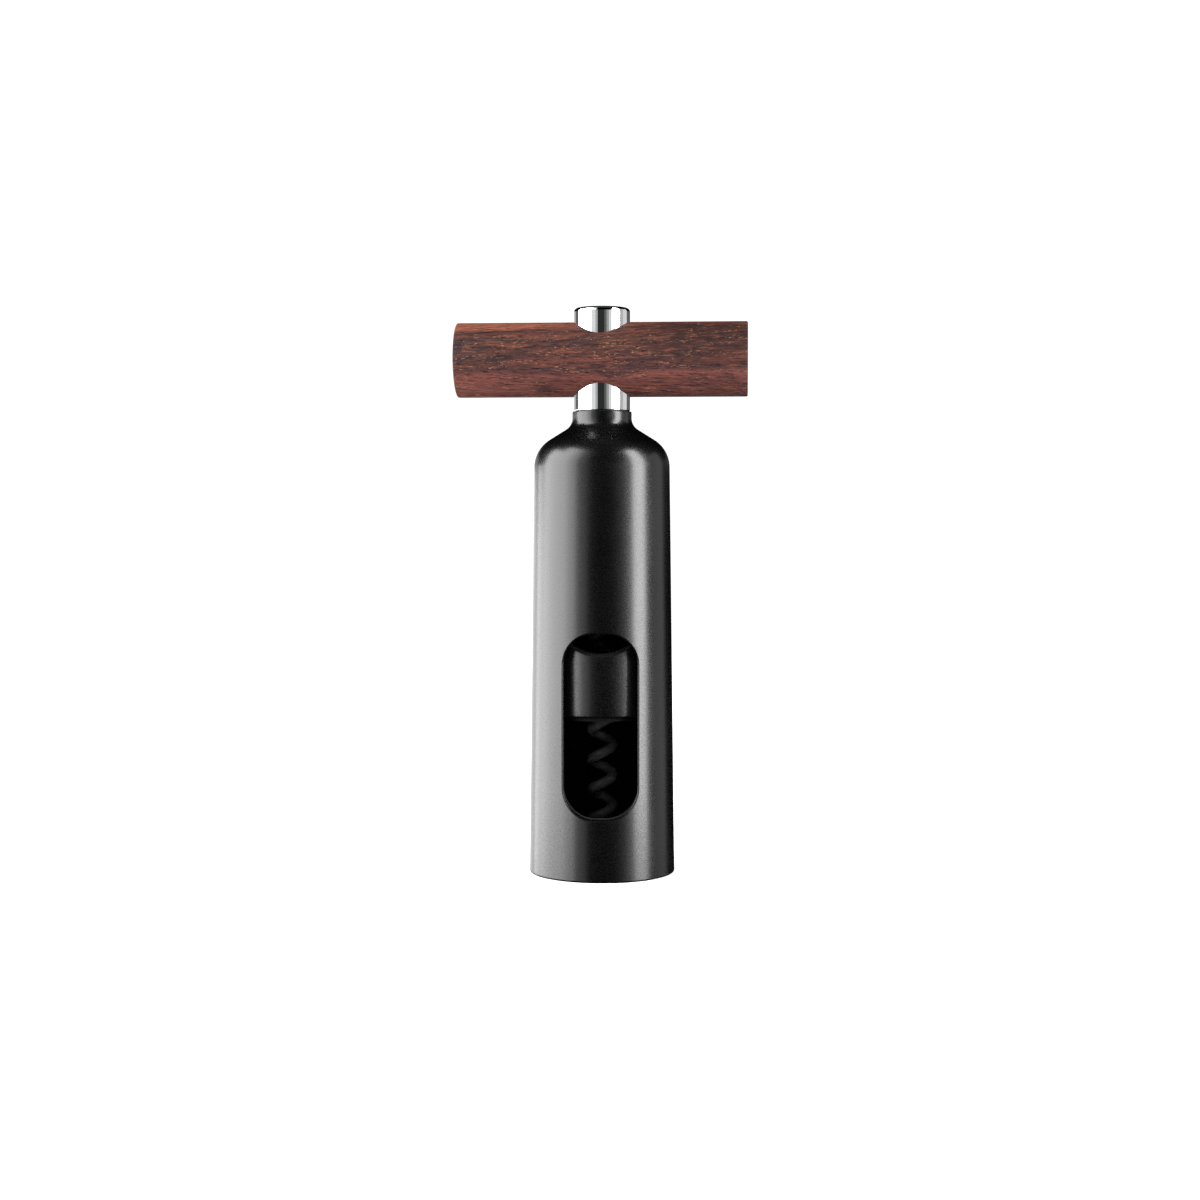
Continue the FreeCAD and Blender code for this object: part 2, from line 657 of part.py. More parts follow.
def make_worm():
    """The worm: a straight shank, a bend off the axis, and a right-hand coil with a point.

    Heights here are above the foot of the hub, which is where the piece is placed.
    """
    wire = number("Size.wire_radius")
    pitch = number("Size.coil_pitch")
    coil = number("Size.coil_radius")
    shank_top = number("Size.shank_depth - Size.shank_gap")
    bend_top = -wire
    bend_foot = bend_top - number("Size.bend_length")
    tip = number(f"{GUIDE_TOP} + Size.tip_above_guide - {HUB_FOOT}")
    taper_top = tip + number("Size.taper_turns") * pitch
    up = FreeCAD.Vector(0, 0, 1)

    def turned(height):
        return 2 * math.pi * (height - tip) / pitch

    def on_coil(height):
        angle = turned(height)
        return FreeCAD.Vector(coil * math.cos(angle), coil * math.sin(angle), height)

    def along_coil(height):
        angle = turned(height)
        sideways = 2 * math.pi * coil / pitch
        rise = FreeCAD.Vector(-sideways * math.sin(angle), sideways * math.cos(angle), 1)
        return rise.normalize()

    def helix(foot, top):
        path = Part.makeHelix(pitch, top - foot, coil)
        path.rotate(FreeCAD.Vector(), up, math.degrees(turned(foot)))
        path.translate(up * foot)
        return Part.Wire(path.Edges)

    def section(place, along, radius):
        return Part.Wire(Part.makeCircle(radius, place, along))

    shank = Part.makeCylinder(wire, shank_top - bend_top, up * bend_top)
    bend_path = Part.BezierCurve()
    bend_path.setPoles(
        [
            up * bend_top,
            up * (bend_top - number("Size.bend_start_pull")),
            on_coil(bend_foot) + along_coil(bend_foot) * number("Size.bend_end_pull"),
            on_coil(bend_foot),
        ]
    )
    bend_section = section(up * bend_top, up, wire)
    bend = Part.Wire(bend_path.toShape()).makePipeShell([bend_section], True, False)
    joint_section = section(on_coil(taper_top), along_coil(taper_top), wire)
    coils = helix(taper_top, bend_foot).makePipeShell([joint_section], True, True)
    tip_section = section(on_coil(tip), along_coil(tip), number("Size.tip_radius"))
    point = helix(tip, taper_top).makePipeShell([tip_section, joint_section], True, True)

    pin_hole_radius = number("Size.pin_radius") + number("Size.pin_gap")
    pin_hole_start = FreeCAD.Vector(0, -2 * wire, number("Size.pin_depth"))
    pin_hole = Part.makeCylinder(
        pin_hole_radius, 4 * wire, pin_hole_start, FreeCAD.Vector(0, 1, 0)
    )
    whole = shank.fuse([bend, coils, point]).cut(pin_hole)

    worm = doc.addObject("Part::Feature", "worm")
    worm.Label = "worm"
    worm.Shape = whole.Solids[0]
    stand(worm, HUB_FOOT, turned=True)
    return worm


PIECES = [
    make_bell_housing(),
    make_guide_ring(),
    make_stop_sleeve(),
    make_lip_seat_ring(),
    make_bush("upper_bush", UPPER_FLANGE_RADIUS, UPPER_BUSH_SEAT, -1),
    make_bush("lower_bush", LOWER_FLANGE_RADIUS, CROWN_HEIGHT, 1),
    make_spindle(),
    make_cross_handle(),
    make_grub_screw(),
    make_retaining_washer(),
    make_lock_washer(),
    make_worm_hub(),
    make_worm_pin(),
    make_worm(),
]
doc.recompute()

for item in doc.Objects:
    if "Invalid" in item.State or "Error" in item.State:
        raise RuntimeError(f"{item.Label} failed: {item.State}")
for piece in PIECES:
    shape = piece.Shape
    if shape.isNull() or not shape.isValid() or len(shape.Solids) != 1:
        raise RuntimeError(f"{piece.Label} is not one valid solid")

os.makedirs("parts", exist_ok=True)
for piece in PIECES:
    piece.Shape.exportStep(f"parts/{piece.Label}.step")
    box = piece.Shape.BoundBox
    print(
        f"{piece.Label}: {piece.Shape.Volume:.1f} mm3, z {box.ZMin:.2f} to {box.ZMax:.2f},"
        f" x {box.XMin:.2f} to {box.XMax:.2f}, y {box.YMin:.2f} to {box.YMax:.2f}"
    )
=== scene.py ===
import math

import bmesh
import bpy
from mathutils import Matrix, Vector


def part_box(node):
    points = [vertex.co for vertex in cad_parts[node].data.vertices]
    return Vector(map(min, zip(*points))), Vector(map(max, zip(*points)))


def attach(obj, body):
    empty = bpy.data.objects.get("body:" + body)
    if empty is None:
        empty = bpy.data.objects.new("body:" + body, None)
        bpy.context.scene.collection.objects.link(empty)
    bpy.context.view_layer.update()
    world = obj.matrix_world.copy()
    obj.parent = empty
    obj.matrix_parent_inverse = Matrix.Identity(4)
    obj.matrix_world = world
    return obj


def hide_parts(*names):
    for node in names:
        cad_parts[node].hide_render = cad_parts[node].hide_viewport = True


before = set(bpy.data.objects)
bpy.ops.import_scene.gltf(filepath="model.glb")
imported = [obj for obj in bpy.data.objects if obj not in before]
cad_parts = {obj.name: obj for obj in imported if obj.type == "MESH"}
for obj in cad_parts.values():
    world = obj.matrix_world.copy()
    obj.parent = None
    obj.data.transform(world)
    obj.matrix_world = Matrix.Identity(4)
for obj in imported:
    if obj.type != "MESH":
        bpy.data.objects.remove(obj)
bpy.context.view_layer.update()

# A bell corkscrew: black bell, stop sleeve in its window, polished column, rosewood cross handle.
# Pieces are drawn in millimetres. Materials, lights and the camera are in metres.
MM = 0.001

# Places taken from the frame, in millimetres.
NECK_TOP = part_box("bell_housing")[1][2] / MM
RIM_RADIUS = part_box("bell_housing")[1][0] / MM
SLEEVE_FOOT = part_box("stop_sleeve")[0][2] / MM
SLEEVE_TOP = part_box("stop_sleeve")[1][2] / MM
COLUMN_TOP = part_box("spindle")[1][2] / MM
JOURNAL_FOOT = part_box("spindle")[0][2] / MM
COLUMN_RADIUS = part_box("spindle")[1][0] / MM
HANDLE_LOW, HANDLE_HIGH = (corner[2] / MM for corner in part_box("cross_handle"))
HANDLE_RADIUS = (HANDLE_HIGH - HANDLE_LOW) / 2
HANDLE_HEIGHT = (HANDLE_HIGH + HANDLE_LOW) / 2
GUIDE_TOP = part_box("neck_guide_ring")[1][2] / MM

# The handle's length and rest angle, as the frame's axes line states them.
HANDLE_LENGTH = 85.4
REST_ANGLE = math.radians(-2.9)

# The photographer's side, in degrees from -Y towards +X.
VIEW_AZIMUTH = 1.6

# A hole's margin of cells lies between these shares of the way from its block to its outline.
MARGIN_SHARES = (0.0, 0.4, 0.75, 1.0)

# A ring of a wall with a smaller radius than this is a single point on the axis.
ON_AXIS = 1e-6

# A Mix node's colour sockets share their names with its other sockets, so they go by number.
MIX_FIRST, MIX_SECOND, MIX_RESULT = 6, 7, 2


# ---------------------------------------------------------------- meshes

def rounded(corners, steps=8):
    """Points of an outline in (radius, height). A corner's third number is its fillet radius."""
    points = []
    count = len(corners)
    for i, corner in enumerate(corners):
        place = Vector(corner[:2])
        if len(corner) == 2:
            points.append(place)
            continue
        before = (Vector(corners[i - 1][:2]) - place).normalized()
        after = (Vector(corners[(i + 1) % count][:2]) - place).normalized()
        half = before.angle(after) / 2
        centre = place + (before + after).normalized() * corner[2] / math.sin(half)
        start = place + before * corner[2] / math.tan(half) - centre
        end = place + after * corner[2] / math.tan(half) - centre
        sweep = start.angle_signed(end)
        for step in range(steps + 1):
            turn = Matrix.Rotation(-sweep * step / steps, 2)
            points.append(centre + turn @ start)
    return points


def divided(points, longest):
    """The same open outline with its long stretches divided evenly."""
    result = [points[0]]
    for start, end in zip(points, points[1:]):
        parts = max(1, math.ceil((end - start).length / longest))
        result += [start.lerp(end, part / parts) for part in range(1, parts + 1)]
    return result


def wall_point(radius, angle, along):
    """A point on a round wall about Z. Angle 0 faces -Y and a quarter turn faces +X."""
    return Vector((radius * math.sin(angle), -radius * math.cos(angle), along)) * MM


class Hole:
    """A rounded-rectangle hole in a round wall, in the block of cells between two rings."""

    def __init__(self, rings, columns, angle, middle, half_across, half_along, corner):
        self.rings = rings
        self.columns = columns
        self.angle = angle
        self.middle = middle
        self.half_across = half_across
        self.half_along = half_along
        self.corner = corner
        self.rim = []

    def covers(self, ring, column, around):
        """Whether a cell of the wall lies in the hole's block."""
        first = self.columns[0]
        inside = (column - first) % around < self.columns[1] - first
        return inside and self.rings[0] <= ring < self.rings[1]

    def border(self, stations):
        """The block's border as (ring, column, u, v), with u and v from -1 to 1."""
        (first, last), (left, right) = self.rings, self.columns
        upward = 1 if stations[last].y > stations[first].y else -1
        path = [(first, i) for i in range(left, right)]
        path += [(j, right) for j in range(first, last)]
        path += [(last, i) for i in range(right, left, -1)]
        path += [(j, left) for j in range(last, first, -1)]
        for ring, column in path:
            u = 2 * (column - left) / (right - left) - 1
            v = 2 * (ring - first) / (last - first) - 1
            yield ring, column, u, v * upward

    def edge(self, u, v):
        """The hole's outline point, (across, along), for a border point."""
        across, along = u * self.half_across, v * self.half_along
        corner_across = self.half_across - self.corner
        corner_along = self.half_along - self.corner
        if abs(across) > corner_across and abs(along) > corner_along:
            out = Vector((abs(across) - corner_across, abs(along) - corner_along))
            out = out.normalized() * self.corner
            across = math.copysign(corner_across + out.x, across)
            along = math.copysign(corner_along + out.y, along)
        return across, self.middle + along


def build_wall(bm, stations, around, holes=(), closed=False):
    """A round wall through (radius, height) stations, with a margin round each hole."""
    grid = {}

    def vertex(ring, column):
        radius, along = stations[ring]
        key = (ring, 0 if radius < ON_AXIS else column % around)
        if key not in grid:
            angle = 2 * math.pi * key[1] / around
            grid[key] = bm.verts.new(wall_point(radius, angle, along))
        return grid[key]

    count = len(stations)
    for ring in range(count if closed else count - 1):
        above = (ring + 1) % count
        for column in range(around):
            if any(hole.covers(ring, column, around) for hole in holes):
                continue
            corners = [
                vertex(ring, column), vertex(ring, column + 1),
                vertex(above, column + 1), vertex(above, column),
            ]
            bm.faces.new(list(dict.fromkeys(corners)))
    for hole in holes:
        fill_margin(bm, stations, around, hole, vertex)


def fill_margin(bm, stations, around, hole, vertex):
    """Rings of cells from a hole's block in to its outline, all on the wall's own surface."""
    low_radius, low = stations[hole.rings[0]]
    high_radius, high = stations[hole.rings[1]]

    def radius_at(along):
        return low_radius + (high_radius - low_radius) * (along - low) / (high - low)

    loops = [[] for _ in MARGIN_SHARES]
    for ring, column, u, v in hole.border(stations):
        radius, along = stations[ring]
        turn = 2 * math.pi * column / around - hole.angle
        across = radius * math.sin(turn)
        edge_across, edge_along = hole.edge(u, v)
        for loop, share in zip(loops, MARGIN_SHARES):
            if share == 0.0:
                loop.append(vertex(ring, column))
                continue
            here = along + (edge_along - along) * share
            side = across + (edge_across - across) * share
            angle = hole.angle + math.asin(side / radius_at(here))
            loop.append(bm.verts.new(wall_point(radius_at(here), angle, here)))
    for outer, inner in zip(loops, loops[1:]):
        for i in range(len(outer)):
            after = (i + 1) % len(outer)
            bm.faces.new((outer[i], outer[after], inner[after], inner[i]))
    hole.rim = loops[-1]


def rim_edges(hole):
    """The edges of a hole's outline."""
    rim = hole.rim
    edges = []
    for i, vert in enumerate(rim):
        after = rim[(i + 1) % len(rim)]
        edges.append(next(e for e in vert.link_edges if e.other_vert(vert) is after))
    return edges


def join_holes(bm, first, second):
    """The wall between two holes that face each other."""
    bmesh.ops.bridge_loops(bm, edges=rim_edges(first) + rim_edges(second))


def soften(bm, edges, width, segments):
    """Rounds a set of edges."""
    bmesh.ops.bevel(
        bm, geom=edges, offset=width * MM, offset_type="OFFSET", segments=segments,
        profile=0.5, affect="EDGES", clamp_overlap=True,
    )


def finish_mesh(bm, name, sharp_angle=34):
    """An object from the mesh, smooth-shaded up to an angle."""
    bmesh.ops.recalc_face_normals(bm, faces=bm.faces)
    mesh = bpy.data.meshes.new(name)
    bm.to_mesh(mesh)
    bm.free()
    mesh.shade_smooth()
    mesh.set_sharp_from_angle(angle=math.radians(sharp_angle))
    piece = bpy.data.objects.new(name, mesh)
    bpy.context.scene.collection.objects.link(piece)
    return piece


def true_normals(piece, radius_at, slope, low, high):
    """Gives a tapered wall its exact normals, so highlights run straight past its hole."""
    mesh = piece.data
    tolerance = 0.02
    normals = [corner.vector.copy() for corner in mesh.corner_normals]
    for i, loop in enumerate(mesh.loops):
        place = mesh.vertices[loop.vertex_index].co / MM
        out = Vector((place.x, place.y, 0.0))
        if low <= place.z <= high and abs(out.length - radius_at(place.z)) < tolerance:
            out.z = slope * out.length
            normals[i] = out.normalized()
    mesh.normals_split_custom_set(normals)


def settle(piece, body, slot, material, *nodes):
    """Gives a finished piece its body and material, and hides the nodes that it stands for. The
    slot is not used.
    """
    piece.data.materials.clear()
    piece.data.materials.append(material)
    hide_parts(*nodes)
    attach(piece, body)


# ---------------------------------------------------------------- materials

class Nodes:
    """A material's node tree, with short ways to add and join nodes."""

    def __init__(self, name):
        self.material = bpy.data.materials.new(name)
        self.material.use_nodes = True
        self.tree = self.material.node_tree
        self.shader = self.tree.nodes["Principled BSDF"]
        self.place = self.add("ShaderNodeTexCoord").outputs["Object"]

    def add(self, kind, **settings):
        node = self.tree.nodes.new(kind)
        for key, value in settings.items():
            setattr(node, key, value)
        return node

    def join(self, source, target):
        self.tree.links.new(source, target)

    def axes(self, vector):
        """A vector's X, Y and Z."""
        node = self.add("ShaderNodeSeparateXYZ")
        self.join(vector, node.inputs[0])
        return node.outputs["X"], node.outputs["Y"], node.outputs["Z"]

    def stretch(self, scale, turn=(0, 0, 0), source=None):
        """The object's own coordinates or other ones, turned and scaled along each axis."""
        node = self.add("ShaderNodeMapping")
        node.inputs["Scale"].default_value = scale
        node.inputs["Rotation"].default_value = turn
        self.join(source or self.place, node.inputs["Vector"])
        return node.outputs["Vector"]

    def noise(self, vector, scale, detail, rough=0.5):
        """Cloudy noise round 0.5."""
        node = self.add("ShaderNodeTexNoise")
        node.inputs["Scale"].default_value = scale
        node.inputs["Detail"].default_value = detail
        node.inputs["Roughness"].default_value = rough
        self.join(vector, node.inputs["Vector"])
        return node.outputs["Fac"]

    def map(self, source, low, high, to_low=0.0, to_high=1.0):
        """A smooth step from one value to another, between two values of the source."""
        node = self.add("ShaderNodeMapRange", interpolation_type="SMOOTHSTEP")
        for name, value in zip(
            ("From Min", "From Max", "To Min", "To Max"), (low, high, to_low, to_high)
        ):
            node.inputs[name].default_value = value
        self.join(source, node.inputs["Value"])
        return node.outputs["Result"]

    def math(self, operation, *values):
        """Arithmetic on outputs or numbers."""
        node = self.add("ShaderNodeMath", operation=operation)
        for socket, value in zip(node.inputs, values):
            if isinstance(value, (int, float)):
                socket.default_value = value
            else:
                self.join(value, socket)
        return node.outputs["Value"]

    def mix(self, factor, first, second):
        """A blend of two colours."""
        node = self.add("ShaderNodeMix", data_type="RGBA")
        sockets = (node.inputs["Factor"], node.inputs[MIX_FIRST], node.inputs[MIX_SECOND])
        for socket, value in zip(sockets, (factor, first, second)):
            if isinstance(value, tuple):
                socket.default_value = (*value, 1.0)
            elif isinstance(value, (int, float)):
                socket.default_value = value
            else:
                self.join(value, socket)
        return node.outputs[MIX_RESULT]

    def bump(self, *layers):
        """Bump from (height, depth in metres) layers, one on the other."""
        normal = None
        for height, depth in layers:
            node = self.add("ShaderNodeBump")
            node.inputs["Strength"].default_value = 1.0
            node.inputs["Distance"].default_value = depth
            self.join(height, node.inputs["Height"])
            if normal is not None:
                self.join(normal, node.inputs["Normal"])
            normal = node.outputs["Normal"]
        self.join(normal, self.shader.inputs["Normal"])

    def set(self, **values):
        """Sets or links the shader's sockets."""
        for name, value in values.items():
            socket = self.shader.inputs[name.replace("_", " ")]
            if hasattr(value, "is_linked"):
                self.join(value, socket)
            else:
                socket.default_value = (*value, 1.0) if isinstance(value, tuple) else value


def satin_black(name, tone=0.0006, rough=0.26, grain=2600, grain_depth=2.2e-6,
                dull_inside=False, painted_top_highlight=False):
    """Moulded black plastic with a fine even spark texture.

    If asked, it is duller inside the bell's wall, or carries a painted highlight: a lighter
    colour on the faces that look up.
    """
    cloud_scale = 55
    spark_spread, cloud_spread = 0.05, 0.015
    dark = (tone, tone, tone * 1.05)
    lighter = (tone * 1.5, tone * 1.5, tone * 1.6)
    n = Nodes(name)
    spark = n.noise(n.place, grain, detail=2.0, rough=0.6)
    cloud = n.noise(n.place, cloud_scale, detail=3.0)
    colour = n.mix(n.map(cloud, 0.3, 0.7), dark, lighter)
    roughness = n.math(
        "ADD",
        n.map(spark, 0.3, 0.7, rough - spark_spread, rough + spark_spread),
        n.map(cloud, 0.25, 0.75, -cloud_spread, cloud_spread),
    )
    if dull_inside:
        # inside is nearer the axis than the skin, and below the crown's arc
        dull_radius, sheen_radius = 0.0188, 0.0194
        dull_height, sheen_height = 0.108, 0.112
        dulling = 0.6
        x, y, z = n.axes(n.place)
        radius = n.math("SQRT", n.math("ADD", n.math("MULTIPLY", x, x), n.math("MULTIPLY", y, y)))
        inside = n.math(
            "MULTIPLY",
            n.map(radius, dull_radius, sheen_radius, 1.0, 0.0),
            n.map(z, dull_height, sheen_height, 1.0, 0.0),
        )
        roughness = n.math("ADD", roughness, n.map(inside, 0.0, 1.0, 0.0, dulling))
    if painted_top_highlight:
        # painted highlight: faces that look up get a lighter colour, in place of the light line
        # on the scoop's chamfer
        worn = (0.005, 0.005, 0.005)
        _, _, upward = n.axes(n.add("ShaderNodeNewGeometry").outputs["Normal"])
        colour = n.mix(n.map(upward, 0.25, 0.6), colour, worn)
    n.set(Base_Color=colour, Roughness=roughness)
    n.bump((spark, grain_depth))
    return n.material


def soft_rubber():
    """Black silicone: matte, slightly dusty."""
    clean, dusty = (0.0010, 0.0010, 0.0011), (0.003, 0.003, 0.003)
    n = Nodes("seat_silicone")
    fine = n.noise(n.place, 1500, detail=3.0)
    dust = n.noise(n.place, 240, detail=4.0, rough=0.65)
    n.set(
        Base_Color=n.mix(n.map(dust, 0.45, 0.8), clean, dusty),
        Roughness=n.map(fine, 0.3, 0.7, 0.62, 0.78),
        Specular_IOR_Level=0.15,
    )
    n.bump((fine, 4e-6))
    return n.material


def turned_steel():
    """Plated steel with fine rings from turning."""
    clean, stained = (0.5, 0.5, 0.51), (0.4, 0.39, 0.37)
    n = Nodes("plated_steel")
    rings = n.noise(n.stretch((60, 60, 9000)), 1.0, detail=3.0)
    stain = n.noise(n.place, 320, detail=3.0)
    n.set(
        Metallic=1.0,
        Base_Color=n.mix(n.map(stain, 0.3, 0.75), clean, stained),
        Roughness=n.map(rings, 0.3, 0.7, 0.22, 0.4),
    )
    n.bump((rings, 2.5e-6))
    return n.material


def polished_chrome():
    """Polished column: a mirror with the faintest hairlines round it."""
    clear, hazed = (0.86, 0.87, 0.88), (0.80, 0.80, 0.81)
    n = Nodes("polished_chrome")
    lines = n.noise(n.stretch((40, 40, 5200)), 1.0, detail=2.0)
    haze = n.noise(n.place, 210, detail=4.0, rough=0.6)
    n.set(
        Metallic=1.0,
        Base_Color=n.mix(n.map(haze, 0.35, 0.75), clear, hazed),
        Roughness=n.math(
            "ADD", n.map(lines, 0.3, 0.7, 0.035, 0.06), n.map(haze, 0.4, 0.8, 0.0, 0.03)
        ),
    )
    n.bump((lines, 1.2e-7))
    return n.material


def worm_coat():
    """Dark non-stick coat on the worm, a little worn and dusty."""
    coat, worn = (0.022, 0.022, 0.024), (0.07, 0.068, 0.066)
    n = Nodes("worm_coat")
    fine = n.noise(n.place, 1800, detail=3.0, rough=0.6)
    wear = n.noise(n.place, 420, detail=5.0, rough=0.7)
    n.set(
        Metallic=0.35,
        Base_Color=n.mix(n.map(wear, 0.5, 0.8), coat, worn),
        Roughness=n.map(fine, 0.3, 0.7, 0.34, 0.5),
    )
    n.bump((fine, 3e-6), (wear, 5e-6))
    return n.material


def rosewood():
    """Oiled rosewood. The grain runs along the piece's own Z, and its own -X is up."""
    n = Nodes("rosewood")
    grain = n.stretch((1, 1, 1), turn=(-REST_ANGLE, 0, 0))

    def drawn_out(across, along, **kind):
        """Noise drawn out along the grain, given its fineness across it and along it."""
        return n.noise(n.stretch((across, across, along), source=grain), 1.0, **kind)

    wander = drawn_out(130, 14, detail=3.0)
    streaks = drawn_out(1700, 46, detail=5.0, rough=0.72)
    blots = drawn_out(260, 50, detail=5.0, rough=0.62)
    fibres = drawn_out(3600, 170, detail=3.0, rough=0.75)
    flecks = drawn_out(5600, 640, detail=1.0, rough=0.6)
    clusters = drawn_out(600, 110, detail=2.0)
    pores = drawn_out(3600, 190, detail=1.0)

    # growth bands, met one after another on the way up through the bar
    lean = 0.35
    outermost = 0.0125
    down, deep, along = n.axes(grain)
    height = n.math("SUBTRACT", n.math("MULTIPLY", deep, lean), down)
    for ripple, reach in ((wander, 0.0018), (streaks, 0.0012)):
        height = n.math("ADD", height, n.map(ripple, 0.2, 0.8, -reach, reach))
    bands = n.add("ShaderNodeValToRGB")
    n.join(n.map(height, -outermost, outermost), bands.inputs["Fac"])
    colours = (
        (0.00, (0.044, 0.015, 0.013)),
        (0.06, (0.088, 0.027, 0.022)),
        (0.12, (0.024, 0.011, 0.011)),
        (0.20, (0.060, 0.019, 0.014)),
        (0.28, (0.028, 0.012, 0.011)),
        (0.38, (0.044, 0.016, 0.012)),
        (0.47, (0.016, 0.009, 0.009)),
        (0.56, (0.060, 0.020, 0.012)),
        (0.64, (0.022, 0.012, 0.012)),
        (0.73, (0.064, 0.021, 0.014)),
        (0.82, (0.020, 0.011, 0.011)),
        (0.90, (0.155, 0.047, 0.027)),
        (1.00, (0.138, 0.045, 0.030)),
    )
    ramp = bands.color_ramp
    while len(ramp.elements) < len(colours):
        ramp.elements.new(0.5)
    for element, (position, colour) in zip(ramp.elements, colours):
        element.position = position
        element.color = (*colour, 1.0)

    # the heartwood darkens to the right, above the middle, and in a patch at the left end
    right = n.math("MULTIPLY", n.map(along, 0.004, 0.024, 0.0, 0.72), n.map(height, -0.009, 0.0))
    left = n.math("MULTIPLY", n.map(along, -0.032, -0.039, 0.0, 0.6), n.map(height, 0.006, 0.001))
    left = n.math("MULTIPLY", left, n.map(height, -0.007, -0.002))
    base = n.mix(right, bands.outputs["Color"], (0.014, 0.007, 0.007))
    base = n.mix(left, base, (0.014, 0.011, 0.014))

    # figure laid over the bands: where each noise starts and is full, its strength and colour
    figure = (
        (blots, 0.53, 0.66, 0.75, (0.013, 0.009, 0.011)),
        (streaks, 0.52, 0.68, 0.75, (0.120, 0.036, 0.021)),
        (streaks, 0.47, 0.33, 0.85, (0.011, 0.006, 0.006)),
        (fibres, 0.52, 0.70, 0.75, (0.010, 0.005, 0.005)),
        (fibres, 0.44, 0.28, 0.35, (0.130, 0.055, 0.038)),
        (pores, 0.62, 0.70, 0.9, (0.004, 0.002, 0.002)),
    )
    for noise, start, full, strength, colour in figure:
        base = n.mix(n.map(noise, start, full, 0.0, strength), base, colour)
    pale = n.math("MULTIPLY", n.map(flecks, 0.63, 0.71, 0.0, 0.85), n.map(clusters, 0.46, 0.6))
    base = n.mix(pale, base, (0.22, 0.105, 0.062))

    pore_depth, fibre_depth = 1.6e-5, 8e-6
    n.set(
        Base_Color=base,
        Roughness=n.math(
            "ADD", n.map(fibres, 0.3, 0.7, 0.46, 0.6), n.map(pores, 0.6, 0.75, 0.0, 0.2)
        ),
        Specular_IOR_Level=0.1,
    )
    n.bump((n.map(pores, 0.74, 0.62), pore_depth), (fibres, fibre_depth))
    return n.material


# ---------------------------------------------------------------- rebuilt pieces

def make_bell(material):
    """The bell, its window and its bores, as one closed wall."""
    around = 192
    longest_row = 2.5
    bore = 17.1
    upper_bore = 16.0
    guide_bore = 18.03
    bush_bore = 6.5
    neck_radius = 8.7
    shoulder_radius = 19.83
    shoulder = NECK_TOP - 11.05
    cone_foot = NECK_TOP - 4.1
    crown = shoulder - 0.7
    rim_edge, neck_edge = 0.5, 0.35
    shoulder_fillet, cone_fillet, crown_fillet = 9.5, 4.0, 6.0
    # the straight taper of the wall ends where the shoulder's fillet starts
    taper_top = shoulder - 5.26
    # the seat in the neck's top for the upper bush's flange, which stands a little proud
    flange_radius, flange_thickness, flange_proud = 7.8, 0.8, 0.2
    # the window, and the blocks of the wall that it is cut from
    half_width, sill, head, corner = 10.7, 18.1, 71.3, 9.0
    edge_radius = 0.65
    block_columns = 26
    block_rows = 44
    outer_margin = 4.6
    inner_margin_below, inner_margin_above = 3.2, 2.2
    # the outline is led in from below the rim, and the rim's edge is led out up the wall
    lead_in, lead_out = -10.0, 5.0

    outside = rounded(
        [
            (RIM_RADIUS, lead_in),
            (shoulder_radius, shoulder, shoulder_fillet),
            (neck_radius, cone_foot, cone_fillet),
            (neck_radius, NECK_TOP, neck_edge),
            (flange_radius, NECK_TOP),
        ],
        steps=14,
    )[1:]
    taper = (RIM_RADIUS - shoulder_radius) / shoulder

    def skin(height):
        return RIM_RADIUS - taper * height

    def rows(radius_at, low, high, count):
        heights = [low + (high - low) * i / count for i in range(count + 1)]
        return [Vector((radius_at(height), height)) for height in heights]

    rim = rounded(
        [(guide_bore, 0.0), (RIM_RADIUS, 0.0, rim_edge), (skin(lead_out), lead_out)], steps=6
    )[:-1]
    wall = rows(skin, sill - outer_margin, head + outer_margin, block_rows)
    above = divided([wall[-1]] + outside, longest_row)[1:]
    below = divided([rim[-1], wall[0]], longest_row)[1:-1]
    inner_wall = rows(
        lambda height: bore, head + inner_margin_above, sill - inner_margin_below, block_rows
    )
    seat = NECK_TOP + flange_proud - flange_thickness
    inside = rounded(
        [
            (flange_radius, seat), (bush_bore, seat), (bush_bore, crown),
            (upper_bore, crown, crown_fillet), (upper_bore, SLEEVE_TOP), (bore, SLEEVE_TOP),
        ]
    )
    inside = divided(inside + [inner_wall[0]], longest_row)[:-1]
    foot = divided(
        [
            inner_wall[-1], Vector((bore, GUIDE_TOP)), Vector((guide_bore, GUIDE_TOP)),
            Vector((guide_bore, 0.0)),
        ],
        longest_row,
    )[1:-1]

    stations = rim + below
    wall_start = len(stations)
    stations += wall + above + inside
    inner_start = len(stations)
    stations += inner_wall + foot
    middle = (sill + head) / 2
    columns = (-block_columns, block_columns)
    shape = (0.0, middle, half_width, (head - sill) / 2, corner)
    outer_hole = Hole((wall_start, wall_start + block_rows), columns, *shape)
    inner_hole = Hole((inner_start, inner_start + block_rows), columns, *shape)
    bm = bmesh.new()
    build_wall(bm, stations, around, (outer_hole, inner_hole), closed=True)
    window_edges = rim_edges(outer_hole)
    join_holes(bm, outer_hole, inner_hole)
    soften(bm, window_edges, edge_radius, segments=6)
    piece = finish_mesh(bm, "bell")
    just_below = 0.01
    true_normals(piece, skin, taper, rim_edge - just_below, taper_top)
    settle(piece, "bell", "bell_black", material, "bell_housing")


